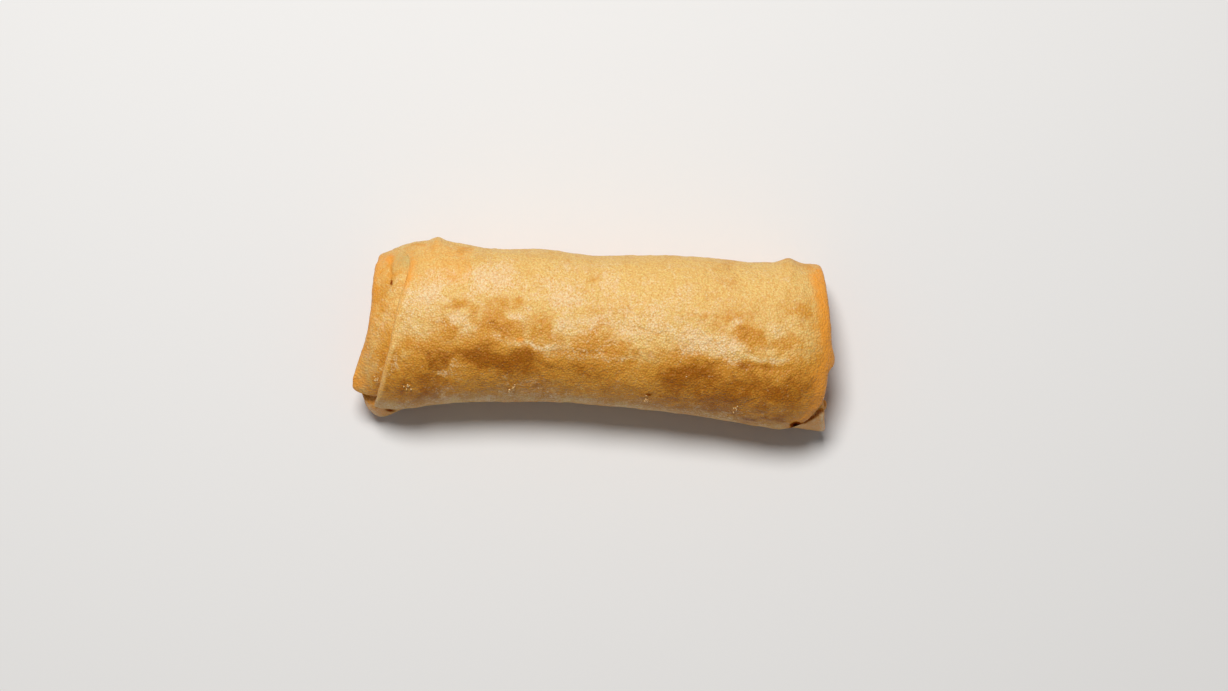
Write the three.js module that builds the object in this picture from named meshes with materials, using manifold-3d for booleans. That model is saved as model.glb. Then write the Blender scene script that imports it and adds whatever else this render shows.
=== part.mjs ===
// A fried spring roll: one wrapper leaf rolled round its filling, lying on its flat underside.
// Millimetres, +Z up, the roll along X, its front towards -Y, and its origin under its middle.
// Round the roll, an angle of 0 is the back, 90 the top, 180 the front and 270 the underside.

import * as THREE from 'three';
import { mergeVertices } from 'three/addons/utils/BufferGeometryUtils.js';
import Module from 'manifold-3d';

// ---- Driving dimensions ----

const HEIGHT = 31; // over the crown at the middle
const LEAF = 0.9; // one fried leaf of wrapper
const FOLD = 1.5; // two leaves and the air between them, where the sides are folded in
const BITE = 1.3; // how far a leaf's hidden face sinks into the roll below it
const SINK = 0.7; // how much of the round underside is pressed flat
const TURN_PITCH = 2.6; // between neighbouring turns of the folded ends

// Cross-sections of the outer leaf along the roll: how far it reaches back and to the front,
// its crown's height, and the height of its widest line, as a share of the crown.
const BODY = {
  back: [[-58, 18.1], [-48, 21.2], [-40, 22.1], [-28, 20.8], [-14, 21], [0, 20.5],
    [18, 21.2], [36, 20.7], [48, 21.3], [55, 20.5], [60, 19]],
  front: [[-58, 21], [-53, 21.2], [-48, 21.1], [-40, 19.6], [-28, 18.2], [-14, 17.4], [0, 17.7],
    [18, 18.5], [36, 20.2], [50, 21.3], [58, 20.2]],
  crown: [[-60, 0.66], [-55, 0.8], [-48, 0.9], [-38, 0.965], [-20, 1], [0, 0.985],
    [20, 1], [40, 0.98], [50, 0.92], [56, 0.82], [60, 0.7]],
  waistBack: [[-60, 0.4], [-44, 0.44], [0, 0.45], [44, 0.44], [60, 0.42]],
  waistFront: [[-60, 0.3], [-44, 0.4], [0, 0.44], [44, 0.38], [60, 0.28]],
  rise: [[-60, 1.6], [-50, 0.3], [-42, 0], [42, 0], [50, 0.3], [60, 1.4]],
  slump: [[-60, 0], [60, 0]], // how hollow the front slope is, from the crown to the widest line
};

// The inner roll has the same body, and its front corners are pulled out low at both ends.
const CORE = {
  ...BODY,
  front: [[-58, 24.4], [-53, 24.4], [-47, 22.4], [-40, 19.8], [-28, 18.2], [-14, 17.4], [0, 17.7],
    [18, 18.5], [36, 20.2], [50, 21.5], [58, 22]],
  waistFront: [[-60, 0.12], [-52, 0.16], [-42, 0.38], [0, 0.44], [42, 0.38], [52, 0.2], [60, 0.14]],
  slump: [[-60, 0.7], [-50, 0.6], [-44, 0], [60, 0]],
};

// Edges of the outer leaf round the roll, as [angle, x]. Both start as end folds, and from the
// front they run together as the leaf's last corner, which is sealed down under the roll.
const LEAF_START = -30;
const LEAF_TIP = 338;
const START_DIP = 1.2; // how far its start is sunk, which the tip covers
const DIPPED = -20; // the angle where it has come up to one leaf below the tip
const RISEN = 60; // the angle where it has come up to full size
const LEFT_EDGE = [[LEAF_START, -53.5], [0, -53], [20, -50.5], [46, -47.4], [75, -49.2], [108, -51.4],
  [137, -53.4], [160, -54.7], [168, -55.1], [171.5, -54.9], [175, -52.8], [182, -48.6], [215, -39],
  [260, -25], [305, -11.5], [LEAF_TIP, -3]];
const RIGHT_EDGE = [[LEAF_START, 53.8], [5, 54.3], [34, 55.2], [50, 56.1], [76, 57.1], [88, 57.5],
  [97, 58.6], [102, 58.5], [109, 57.2], [120, 56.9], [130, 56.6], [137, 56], [151, 53.4], [165, 50],
  [215, 37.5], [260, 24.5], [305, 11.5], [LEAF_TIP, 4]];

// End folds of the inner roll, as [angle, x]. The left one is cut back across its low front corner.
const CORE_LEFT = [[0, -55.6], [60, -56], [100, -56.6], [122, -58.4], [135, -59.3], [148, -57.7],
  [162, -55.8], [170, -54.5], [180, -53.4], [192, -52.8], [208, -52.8], [240, -55], [300, -55.8],
  [360, -55.6]];
const CORE_RIGHT = [[0, 53.6], [45, 55.2], [90, 56.2], [118, 55.8], [135, 56.9], [150, 57.4],
  [165, 58], [185, 57.8], [220, 56], [300, 54.6], [360, 53.6]];

// The turn under the outer leaf, which slid out at the left end: its end fold, as [angle, x].
const TUCK_START = -20;
const TUCK_END = 147.5;
const TUCK_EDGE = [[TUCK_START, -55.2], [10, -55.8], [26, -56.1], [58, -56.6], [86, -56.7],
  [99, -57.6], [110, -58.6], [122, -59.7], [136, -60.5], [143, -60.6], [TUCK_END, -60.1]];
const TUCK_INNER = -43; // where it is well under the outer leaf
const TUCK_LIFT = 0.2; // its face against the hidden face of the outer leaf's fold
const TUCK_BED = -2.2; // the inner roll's face below it
const MOUTH_DEPTH = 0.9; // of the gap that its end leaves open at the low front corner

// ---- Helpers ----

const degrees = THREE.MathUtils.degToRad;
const { lerp, smoothstep } = THREE.MathUtils;

/** Reads a smooth curve through [position, value] knots, level beyond its ends. */
function through(knots, at) {
  const last = knots.length - 1;
  if (at <= knots[0][0]) return knots[0][1];
  if (at >= knots[last][0]) return knots[last][1];
  const i = knots.findIndex(([position]) => position > at) - 1;
  const slope = (k) => {
    if (k === 0 || k === last) return 0;
    return (knots[k + 1][1] - knots[k - 1][1]) / (knots[k + 1][0] - knots[k - 1][0]);
  };
  const span = knots[i + 1][0] - knots[i][0];
  const u = (at - knots[i][0]) / span;
  const ease = u * u * (3 - 2 * u);
  return lerp(knots[i][1], knots[i + 1][1], ease)
    + span * (slope(i) * u * (1 - u) ** 2 - slope(i + 1) * u * u * (1 - u));
}

/** A point of a cross-section, moved outwards by lift. */
function onSection(shape, x, angle, lift) {
  const cos = Math.cos(degrees(angle));
  const sin = Math.sin(degrees(angle));
  const back = through(shape.back, x) + lift;
  const front = -through(shape.front, x) - lift;
  const crown = through(shape.crown, x) * HEIGHT;
  const rise = through(shape.rise, x);
  const middle = (back + front) / 2;
  const waist = crown * lerp(through(shape.waistFront, x), through(shape.waistBack, x), (1 + cos) / 2);
  const y = middle + ((back - front) / 2) * Math.sign(cos) * Math.abs(cos) ** 0.94;
  const slumped = 0.94 + through(shape.slump, x) * smoothstep(angle, 105, 140);
  if (sin >= 0) return new THREE.Vector3(x, y, waist + (crown + lift - waist) * sin ** slumped);
  const depth = waist - rise + SINK + lift;
  return new THREE.Vector3(x, y, Math.max(waist - depth * (-sin) ** 0.86, rise - lift));
}

/** A closed solid swept through rings of points, with a flat cap on the first and the last ring. */
function sweep(rings) {
  const sides = rings[0].length;
  const position = rings.flat().flatMap((point) => [point.x, point.y, point.z]);
  const index = [];
  for (let ring = 0; ring + 1 < rings.length; ring++) {
    for (let side = 0; side < sides; side++) {
      const next = (side + 1) % sides;
      const a = ring * sides + side;
      const b = ring * sides + next;
      index.push(a, b, a + sides, b, b + sides, a + sides);
    }
  }
  [rings[0], rings[rings.length - 1]].forEach((ring, end) => {
    const centre = ring.reduce((sum, point) => sum.add(point), new THREE.Vector3()).divideScalar(sides);
    const hub = position.length / 3;
    const first = end * (rings.length - 1) * sides;
    position.push(centre.x, centre.y, centre.z);
    for (let side = 0; side < sides; side++) {
      const edge = [first + side, first + (side + 1) % sides];
      index.push(hub, ...(end ? edge : edge.reverse()));
    }
  });
  const geometry = new THREE.BufferGeometry();
  geometry.setAttribute('position', new THREE.Float32BufferAttribute(position, 3));
  return geometry.setIndex(index);
}

const wasm = await Module();
wasm.setup();

/** A geometry as a manifold solid, turned to face outwards. */
function solid(geometry) {
  const merged = mergeVertices(geometry, 1e-4);
  const faces = new Uint32Array(merged.index.array);
  const made = (triVerts) => new wasm.Manifold(new wasm.Mesh({
    numProp: 3, vertProperties: merged.attributes.position.array, triVerts }));
  const first = made(faces);
  return first.volume() > 0 ? first : made(faces.reverse());
}

/** Evenly spaced numbers from first to last, both included. */
function spaced(first, last, steps) {
  return Array.from({ length: steps + 1 }, (_, i) => lerp(first, last, i / steps));
}

/** How far the inner roll's face is let down at the left end, for the turn over it and for the mouth. */
function bedOfTuck(x, angle, sunk) {
  const bed = (TUCK_BED - sunk) * (1 - smoothstep(x, -47, -43))
    * smoothstep(angle, LEAF_START, 0) * (1 - smoothstep(angle, 138, 150));
  const mouth = MOUTH_DEPTH * (1 - smoothstep(x, -53, -48))
    * smoothstep(angle, 124, 136) * (1 - smoothstep(angle, 142, 152));
  return Math.min(bed, 0) - mouth;
}

/** How much lower than the last turn the one below it lies, where it rises to become the last. */
function spiralled(angle) {
  return -LEAF * (1 - smoothstep(angle, DIPPED, RISEN));
}

// ---- The pieces of the roll ----

/** The rolled leaf seen in section along the roll: out along its face, round one edge and back. */
function leafLoop(left, right, thickness, faceSteps) {
  const round = thickness * 0.45;
  const face = spaced(left + round, right - round, faceSteps).map((x) => [x, 0]);
  const turn = (x, side) => spaced(60, -60, 2).map((angle) => [
    x + side * round * Math.cos(degrees(angle)), round * (Math.sin(degrees(angle)) - 1)]);
  const hidden = spaced(right - round, left + round, Math.ceil(faceSteps / 4))
    .map((x) => [x, -thickness - BITE]);
  return [...face, ...turn(right - round, 1), ...hidden, ...turn(left + round, -1).reverse()];
}

/** The inner roll, with its end faces set in a little behind their folds. */
function innerRoll() {
  const around = spaced(0, 360, 44).slice(0, -1);
  const bodySteps = 34;
  const face = spaced(0, 1, bodySteps).map((share) => ({ share, lift: 0 }));
  const endFace = [{ lift: -0.9, inset: -0.5 }, { lift: -2.1, inset: 0.6 }, { lift: -4.5, inset: 3.2 }];
  const ring = (lift, at) => around.map((angle) => {
    const turned = angle > 180 ? angle - 360 : angle;
    const sunk = -LEAF + smoothstep(turned, LEAF_START, DIPPED) * spiralled(turned);
    const x = at(angle);
    return onSection(CORE, x, angle, sunk + bedOfTuck(x, turned, sunk) + lift);
  });
  const left = (angle) => through(CORE_LEFT, angle);
  const right = (angle) => through(CORE_RIGHT, angle);
  return solid(sweep([
    ...endFace.toReversed().map(({ lift, inset }) => ring(lift, (angle) => left(angle) + inset)),
    ...face.map(({ share, lift }) => ring(lift, (angle) => lerp(left(angle), right(angle), share))),
    ...endFace.map(({ lift, inset }) => ring(lift, (angle) => right(angle) - inset)),
  ]));
}

/** The last turn of the wrapper, from under its own end, over the top and round to its sealed tip. */
function outerLeaf() {
  const turns = spaced(LEAF_START, LEAF_TIP, 52);
  return solid(sweep(turns.map((angle) => {
    const buried = spiralled(angle) - START_DIP * (1 - smoothstep(angle, LEAF_START, DIPPED));
    const folded = 1 - smoothstep(angle, 150, 190);
    const thickness = lerp(LEAF, FOLD, folded);
    return leafLoop(through(LEFT_EDGE, angle), through(RIGHT_EDGE, angle), thickness, 30)
      .map(([x, lift]) => onSection(BODY, x, angle, lift + buried));
  })));
}

/** The turn below it, where it shows at the left end. */
function leftTuck() {
  return solid(sweep(spaced(TUCK_START, TUCK_END, 24).map((angle) => {
    return leafLoop(through(TUCK_EDGE, angle), TUCK_INNER, FOLD, 5)
      .map(([x, lift]) => onSection(BODY, x, angle, lift - FOLD + TUCK_LIFT));
  })));
}

/** The inner turns at one end: a rounded fold that winds in towards the middle of the end face. */
function endSpiral(edge, side) {
  const windings = 1.9;
  const steps = 56;
  const corners = spaced(0, 360, 8).slice(0, -1);
  return solid(sweep(spaced(0, windings, steps).map((turn) => {
    const angle = 360 * (1 - (turn % 1));
    const inset = 1 + 1.1 * turn;
    const middle = through(edge, angle) - side * (inset + FOLD);
    return corners.map((corner) => onSection(
      CORE,
      middle + side * FOLD * 1.6 * Math.cos(degrees(corner)),
      angle,
      -LEAF * 2 - TURN_PITCH * (turn + 0.5) + (FOLD / 2) * Math.sin(degrees(corner)),
    ));
  })));
}

/** All of it as one closed solid, moved so that its box stands centred on the origin. */
function springRoll() {
  const joined = [leftTuck(), outerLeaf(), endSpiral(CORE_LEFT, -1), endSpiral(CORE_RIGHT, 1)]
    .reduce((roll, piece) => roll.add(piece), innerRoll());
  // Folds that graze each other leave grains far smaller than a crumb; only the roll is kept.
  const whole = joined.decompose().reduce((kept, body) => (body.volume() > kept.volume() ? body : kept));
  const { min, max } = whole.boundingBox();
  const { vertProperties, triVerts } = whole.getMesh();
  const geometry = new THREE.BufferGeometry();
  geometry.setAttribute('position', new THREE.BufferAttribute(vertProperties, 3));
  geometry.setIndex(new THREE.BufferAttribute(triVerts, 1));
  geometry.translate(-(min[0] + max[0]) / 2, -(min[1] + max[1]) / 2, -min[2]);
  geometry.computeVertexNormals();
  return geometry;
}

const friedWrapper = new THREE.MeshStandardMaterial({ color: 0xd9a355, roughness: 0.55, metalness: 0 });
const roll = new THREE.Mesh(springRoll(), friedWrapper);
roll.name = 'spring_roll';

const part = new THREE.Group();
part.add(roll);

export default part;
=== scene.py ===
"""A fried spring roll: the looks built round its packed construction frame.

Laid out as an add-on and run as a script. Everything is in metres, in the frame's own axes: the roll
lies along X, its front towards -Y and its underside on z = 0. Sizes inside the functions are in
millimetres until a piece is made. Round the roll, an angle of 0 is the back, 90 the top, 180 the
front and 270 the underside.
"""

import math

import bmesh
import bpy
import numpy as np
from mathutils import Matrix, Vector, noise


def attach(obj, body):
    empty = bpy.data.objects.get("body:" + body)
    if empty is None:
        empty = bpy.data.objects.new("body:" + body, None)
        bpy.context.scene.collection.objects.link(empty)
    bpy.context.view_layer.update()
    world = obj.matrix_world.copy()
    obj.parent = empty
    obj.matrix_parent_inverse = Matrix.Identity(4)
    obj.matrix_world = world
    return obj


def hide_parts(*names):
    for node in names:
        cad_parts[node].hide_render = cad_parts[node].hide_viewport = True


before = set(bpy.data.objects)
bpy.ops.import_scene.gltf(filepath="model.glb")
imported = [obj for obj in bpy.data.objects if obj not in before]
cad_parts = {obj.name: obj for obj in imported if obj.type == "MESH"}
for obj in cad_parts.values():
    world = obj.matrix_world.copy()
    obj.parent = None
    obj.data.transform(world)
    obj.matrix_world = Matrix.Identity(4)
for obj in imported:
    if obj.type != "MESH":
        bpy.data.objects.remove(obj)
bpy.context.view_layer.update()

bl_info = {
    "name": "Fried Spring Roll",
    "version": (1, 0, 0),
    "blender": (4, 5, 0),
    "location": "View3D > Sidebar > Spring Roll",
    "description": "Makes one fried spring roll from its rolled leaf, folded ends and blistered crust",
    "category": "Add Mesh",
}

MM = 0.001
NODE = "spring_roll"

# The frame's box stands centred on the origin; the stations below are drawn from here.
DRAWN_FROM = (1.003, 1.118, 0.068)

# ---- The shape of the roll, in millimetres and degrees ----
# It is the frame's own shape, but for the low left corner, which is up to 1 mm sharper here.

HEIGHT = 31.0
SINK = 0.7

BODY = {
    "back": [(-58, 18.1), (-48, 21.2), (-40, 22.1), (-28, 20.8), (-14, 21), (0, 20.5), (18, 21.2),
             (36, 20.7), (48, 21.3), (55, 20.5), (60, 19)],
    "front": [(-58, 21), (-53, 21.2), (-48, 21.1), (-40, 19.6), (-28, 18.2), (-14, 17.4), (0, 17.7),
              (18, 18.5), (36, 20.2), (50, 21.3), (58, 20.2)],
    "crown": [(-60, 0.66), (-55, 0.8), (-48, 0.9), (-38, 0.965), (-20, 1), (0, 0.985), (20, 1),
              (40, 0.98), (50, 0.92), (56, 0.82), (60, 0.7)],
    "waist_back": [(-60, 0.4), (-44, 0.44), (0, 0.45), (44, 0.44), (60, 0.42)],
    "waist_front": [(-60, 0.3), (-44, 0.4), (0, 0.44), (44, 0.38), (60, 0.28)],
    "rise": [(-60, 1.6), (-50, 0.3), (-42, 0), (42, 0), (50, 0.3), (60, 1.4)],
    "slump": [(-60, 0), (60, 0)],
}
CORE = dict(
    BODY,
    front=[(-58, 24.2), (-54.5, 24.5), (-50.5, 23), (-46, 21), (-40, 19.7), (-28, 18.2), (-14, 17.4),
           (0, 17.7), (18, 18.5), (36, 20.2), (50, 21.5), (58, 22)],
    waist_front=[(-60, 0.12), (-52, 0.16), (-42, 0.38), (0, 0.44), (42, 0.38), (52, 0.2), (60, 0.14)],
    slump=[(-60, 0.7), (-50, 0.6), (-44, 0), (60, 0)],
)

LEAF_START = -30
LEAF_TIP = 338
START_DIP = 1.2
DIPPED = -20
RISEN = 60
LEFT_EDGE = [(LEAF_START, -53.5), (0, -53), (20, -50.5), (46, -47.4), (75, -49.2), (108, -51.4),
             (137, -53.4), (160, -54.7), (168, -55.1), (171.5, -54.9), (175, -52.8), (182, -48.6),
             (215, -39), (260, -25), (305, -11.5), (LEAF_TIP, -3)]
RIGHT_EDGE = [(LEAF_START, 53.8), (5, 54.3), (34, 55.2), (50, 56.1), (76, 57.1), (88, 57.5),
              (97, 58.6), (102, 58.5), (109, 57.2), (120, 56.9), (130, 56.6), (137, 56),
              (151, 53.4), (165, 50), (215, 37.5), (260, 24.5), (305, 11.5), (LEAF_TIP, 4)]
CORE_LEFT = [(0, -55.6), (60, -56), (100, -56.6), (122, -58.4), (135, -59.3), (148, -57.7),
             (162, -55.8), (170, -54.5), (180, -53.4), (192, -52.8), (208, -52.8), (240, -55),
             (300, -55.8), (360, -55.6)]
CORE_RIGHT = [(0, 53.6), (45, 55.2), (90, 56.2), (118, 55.8), (135, 56.9), (150, 57.4), (165, 58),
              (185, 57.8), (220, 56), (300, 54.6), (360, 53.6)]
TUCK_START = -20
TUCK_END = 147.5
TUCK_EDGE = [(TUCK_START, -55.2), (10, -55.8), (26, -56.1), (58, -56.6), (86, -56.7), (99, -57.6),
             (110, -58.6), (122, -59.7), (136, -60.5), (143, -60.6), (TUCK_END, -60.1)]
TUCK_INNER = -43
TUCK_LIFT = 0.2
TUCK_BED = -2.2
MOUTH_DEPTH = 0.9

# ---- Where the crust browned and where it stayed pale: x, y, reach along, reach across, strength ----

BROWN_PATCHES = [
    (-29, -8, 10, 3.2, 1.0),
    (-17, -8.5, 6, 2.5, 0.5),
    (-44, -12, 4, 2.4, 0.3),
    (-48, -14.5, 2, 1.6, 0.4),
    (22, -9.5, 8, 2.8, 0.9),
    (36, -13.5, 12, 2.6, 0.38),
    (48, -11, 6, 5, 0.5),
    (48.7, 7.2, 4.4, 3.4, 0.6),
    (37.3, 0.4, 4.5, 1.2, 0.8),
    (-23.2, 0.2, 4.2, 2.2, 0.95),
    (-20.5, 5.6, 4, 1.7, 0.45),
    (-12.8, 2.3, 2.2, 2.6, 0.4),
    (-34.8, 4.8, 2.6, 1.5, 0.4),
    (-37, -1.8, 2, 1.6, 0.6),
    (-30.6, 3.4, 1.3, 2.4, 0.35),
    (-4, -9, 6, 2, 0.35),
    (57, -6, 3, 12, 0.4),
    (56.5, 2, 2, 8, 0.5),
    (37.8, -18.6, 2.4, 0.6, 1.0),
    (43, -18.4, 1.8, 0.6, 0.9),
    (46.2, -18.2, 0.9, 0.5, 0.8),
]
PALE_PATCHES = [
    (-42.4, 6.3, 4.6, 4, 0.95),
    (-27, 11.8, 5.2, 3.2, 1.0),
    (-19.5, 2.7, 1.8, 1.5, 0.7),
    (-8.8, 8.5, 6.5, 2.8, 0.8),
    (-7.9, 0.9, 4.6, 2.2, 0.8),
    (-33.6, 0.8, 2, 2, 1.0),
    (-14.5, -4.4, 6, 1.3, 0.9),
    (11, 1, 9, 2.6, 0.6),
    (14, 8, 8, 4, 0.35),
    (1.2, 12.8, 1.1, 5, 0.6),
    (4.3, 13.5, 1, 4.5, 0.6),
    (28, -1.5, 7, 3, 0.8),
    (33, 3, 2.6, 1.4, 0.7),
    (44.2, 2.8, 3, 1.4, 0.7),
    (40, -4.8, 7, 1.1, 0.9),
    (-35, -11.2, 4, 1.3, 0.8),
    (2, -6.5, 9, 1.4, 0.4),
]
# Where green filling shows through a single leaf.
GREEN_PATCHES = [(-49.3, 15.6, 2.7, 2.2, 0.8), (-46, 14.2, 3, 2.4, 0.2)]
# Where oil stayed and the leaf went deep orange.
ORANGE_SPOTS = [
    (-52.6, 16.0, 0.8, 1.1, 1.0),
    (-18.9, -3.1, 1.1, 0.8, 1.0),
    (-58.6, -15.2, 1.6, 1.2, 0.5),
    (57.5, 3, 1.2, 6, 0.5),
]
# Small scorched flecks and slits.
FLECKS = [
    (-18.1, -3.3, 0.6, 0.5, 0.55),
    (-51.6, 9.6, 0.4, 1.0, 1.0),
    (13.2, -14.6, 1.1, 0.45, 0.9),
    (16, -14.9, 0.6, 0.35, 0.7),
    (-41.5, -8.5, 0.8, 0.35, 0.5),
    (55, -9.5, 1.4, 2.6, 0.2),
]
# Where juice ran out by the low right corner and burnt.
BURNT_SPOTS = [(49.9, -20.0, 1.3, 0.8, 1.0), (51.4, -20.3, 0.8, 0.5, 0.6)]
# Thin creases on the upper face: from x, y to x, y, half width, depth, and how much browner their line is
# painted, as painted shade in the crease.
CREASES = [
    (9.0, 1.6, 12.6, 0.2, 0.4, 0.25, 0.5),
    (12.6, 0.2, 16.2, -0.1, 0.4, 0.25, 0.5),
    (-52.4, 16.8, -51.6, 9.6, 0.4, 0.45, 0.35),
    (-12, -5.6, 6, -5.0, 0.5, 0.12, 0.25),
    (27, -6.3, 47, -6.6, 0.7, 0.15, 0.3),
    (-44, 9.5, -41.5, 2, 0.5, 0.12, 0.15),
]
# Humps along the back, where filling pushed the leaf out: x, reach along, height.
BACK_HUMPS = [(-41.2, 1.5, 0.9), (46.4, 2.0, 1.0), (54.0, 1.5, 0.5), (-3, 5, -0.3)]
# Where small blisters crowd together: x, y, how many, height, and the seed of their places.
BLISTER_CROWDS = [(29.5, -3.5, 60, 0.22, 3), (41.5, -4.8, 40, 0.22, 4), (-36, 0.5, 30, 0.20, 6)]
# Where crumbs stuck to the crust: x, y.
CRUMB_CLUSTERS = [(-46.2, -15.6), (-54.2, -14.2), (12.6, -15.4), (34.5, -16.8), (-20.4, -14.6)]
CRUMBS_PER_CLUSTER = 7
# The outer leaf's length along the roll, and nearly its length round it, for its mesh.
LEAF_SPAN = 112


# ---- Sizes and colours that a user would change ----


class SpringRollSizes(bpy.types.PropertyGroup):
    """How thick the leaf is, and how much it blistered and buckled in the oil."""

    leaf: bpy.props.FloatProperty(
        name="Leaf", description="Thickness of one fried leaf of wrapper",
        default=0.9 * MM, min=0.3 * MM, max=2 * MM, unit="LENGTH", precision=4)
    fold: bpy.props.FloatProperty(
        name="Fold", description="Thickness where the sides are folded in: two leaves and their air",
        default=1.5 * MM, min=0.6 * MM, max=4 * MM, unit="LENGTH", precision=4)
    turn_pitch: bpy.props.FloatProperty(
        name="Turn Pitch", description="Distance between neighbouring turns of a folded end",
        default=2.1 * MM, min=1 * MM, max=4 * MM, unit="LENGTH", precision=4)
    buckle: bpy.props.FloatProperty(
        name="Buckle", description="Height of the broad swells in the leaf",
        default=0.34 * MM, min=0, max=2 * MM, unit="LENGTH", precision=4)
    blister: bpy.props.FloatProperty(
        name="Blister", description="Height of the larger fried blisters",
        default=0.16 * MM, min=0, max=1 * MM, unit="LENGTH", precision=4)
    edge_wander: bpy.props.FloatProperty(
        name="Edge Wander", description="How far a leaf's edges stray from a clean line",
        default=0.3 * MM, min=0, max=2 * MM, unit="LENGTH", precision=4)
    mesh_step: bpy.props.FloatProperty(
        name="Mesh Step", description="Distance between neighbouring points of the outer leaf",
        default=0.4 * MM, min=0.2 * MM, max=4 * MM, unit="LENGTH", precision=4)


class SpringRollColours(bpy.types.PropertyGroup):
    """The crust's colours, as sRGB hex codes."""

    floury: bpy.props.StringProperty(
        name="Floury", description="Dry blister skins with flour left on them", default="#F8DDAE")
    golden: bpy.props.StringProperty(
        name="Golden", description="Evenly fried wrapper", default="#F1CD7C")
    amber: bpy.props.StringProperty(
        name="Amber", description="Wrapper fried a little longer", default="#DFA239")
    brown: bpy.props.StringProperty(
        name="Brown", description="Patches that touched the pan or browned most", default="#AE6C02")
    fold_orange: bpy.props.StringProperty(
        name="Fold Orange", description="Folded ends and edges, where the oil stayed", default="#F6A236")
    leek_green: bpy.props.StringProperty(
        name="Leek Green", description="Filling that shows through a single leaf", default="#C8B573")
    # Seam Dark is also the colour of painted shade in the mouth, the gaps and the deep folds.
    seam_dark_and_shade: bpy.props.StringProperty(
        name="Seam Dark", description="Caramelised juice in the deepest folds", default="#86390E")
    burnt: bpy.props.StringProperty(
        name="Burnt", description="Spots of juice that burnt", default="#341006")


class SpringRollStage(bpy.types.PropertyGroup):
    """The floor, the lights and the camera."""

    floor_colour: bpy.props.StringProperty(
        name="Floor", description="The pale floor, as an sRGB hex code", default="#E7E6E5")
    key_power: bpy.props.FloatProperty(
        name="Key Light", description="Power of the soft key light", default=11.0, min=0,
        unit="POWER")
    surround: bpy.props.FloatProperty(
        name="Surround", description="Brightness of the pale room all round", default=0.15, min=0)
    camera_distance: bpy.props.FloatProperty(
        name="Camera Distance", description="From the camera to the roll", default=0.75, min=0.2,
        unit="LENGTH")


GROUPS = {
    "spring_roll_sizes": SpringRollSizes,
    "spring_roll_colours": SpringRollColours,
    "spring_roll_stage": SpringRollStage,
}


# ---- Drawing the rolled leaf ----


def through(knots, at):
    """Reads a smooth curve through (position, value) knots, level beyond its ends."""
    spots, values = np.asarray(knots, float).T
    gaps = np.diff(spots)
    slopes = np.zeros(len(values))
    slopes[1:-1] = (values[2:] - values[:-2]) / (spots[2:] - spots[:-2])
    at = np.clip(at, spots[0], spots[-1])
    i = np.clip(np.searchsorted(spots, at, side="right") - 1, 0, len(gaps) - 1)
    u = (at - spots[i]) / gaps[i]
    ease = u * u * (3 - 2 * u)
    bend = slopes[i] * u * (1 - u) ** 2 - slopes[i + 1] * u * u * (1 - u)
    return values[i] + (values[i + 1] - values[i]) * ease + gaps[i] * bend


def ramp(at, low, high):
    """0 before low, 1 after high and smooth between them."""
    u = np.clip((at - low) / (high - low), 0, 1)
    return u * u * (3 - 2 * u)


def on_section(shape, x, angle, lift):
    """Points of the cross-sections at x, moved outwards by lift, as an array of x, y, z."""
    cos = np.cos(np.radians(angle))
    sin = np.sin(np.radians(angle))
    back = through(shape["back"], x) + lift
    front = -through(shape["front"], x) - lift
    crown = through(shape["crown"], x) * HEIGHT
    rise = through(shape["rise"], x)
    waist_front = through(shape["waist_front"], x)
    waist_back = through(shape["waist_back"], x)
    waist = crown * (waist_front + (waist_back - waist_front) * (1 + cos) / 2)
    y = (back + front) / 2 + (back - front) / 2 * np.sign(cos) * np.abs(cos) ** 0.94
    slumped = 0.94 + through(shape["slump"], x) * ramp(angle, 105, 140)
    above = waist + (crown + lift - waist) * np.abs(sin) ** slumped
    below = waist - (waist - rise + SINK + lift) * np.abs(sin) ** 0.86
    z = np.where(sin >= 0, above, np.maximum(below, rise - lift))
    return np.stack(np.broadcast_arrays(x, y, z), axis=-1)


def swell(points, cell, octaves=2):
    """Soft noise between -1 and 1 at each point, with swells about one cell across.

    A number added to the points reads the same noise elsewhere, so that two uses don't match.
    """
    flat = points.reshape(-1, 3) / cell
    values = [noise.fractal(Vector(spot), 0.9, 2.1, octaves) for spot in flat]
    return np.array(values).reshape(points.shape[:-1])


def spiralled(angle, leaf):
    """How much lower than the last turn the one below it lies, where it rises to become the last."""
    return -leaf * (1 - ramp(angle, DIPPED, RISEN))


def bed_of_tuck(x, angle, sunk):
    """How far the inner roll is let down at the left end, for the turn over it and for the mouth."""
    bed = (TUCK_BED - sunk) * (1 - ramp(x, -47, -43)) * ramp(angle, LEAF_START, 0)
    bed = bed * (1 - ramp(angle, 138, 150))
    mouth = MOUTH_DEPTH * (1 - ramp(x, -53, -48)) * ramp(angle, 124, 136) * (1 - ramp(angle, 142, 152))
    return np.minimum(bed, 0) - mouth


def near(points, patches):
    """How strongly each point lies in any of the patches, from 0 to 1."""
    total = np.zeros(points.shape[:-1])
    for x, y, along, across, strength in patches:
        away = ((points[..., 0] - x) / along) ** 2 + ((points[..., 1] - y) / across) ** 2
        total += strength * np.exp(-away)
    return np.clip(total, 0, 1)


def strayed(points, cell, reach):
    """The points moved about by soft noise, so that a patch read at them gets an uneven outline."""
    moved = np.stack([swell(points + 140.0, cell), swell(points + 190.0, cell)], axis=-1) * reach
    return points + np.concatenate([moved, np.zeros(points.shape[:-1] + (1,))], axis=-1)


def along_creases(points, column):
    """How strongly each point of the upper face lies on a crease, times that column of the list."""
    total = np.zeros(points.shape[:-1])
    for crease in CREASES:
        start = np.array(crease[0:2])
        run = np.array(crease[2:4]) - start
        reached = points[..., :2] - start
        share = np.clip((reached @ run) / (run @ run), 0, 1)
        away = np.linalg.norm(reached - share[..., None] * run, axis=-1)
        faded = 0.35 + 0.65 * np.sin(np.pi * share)
        total = np.maximum(total, crease[column] * faded * np.exp(-((away / crease[4]) ** 2)))
    return total * (points[..., 2] > 12)


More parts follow.
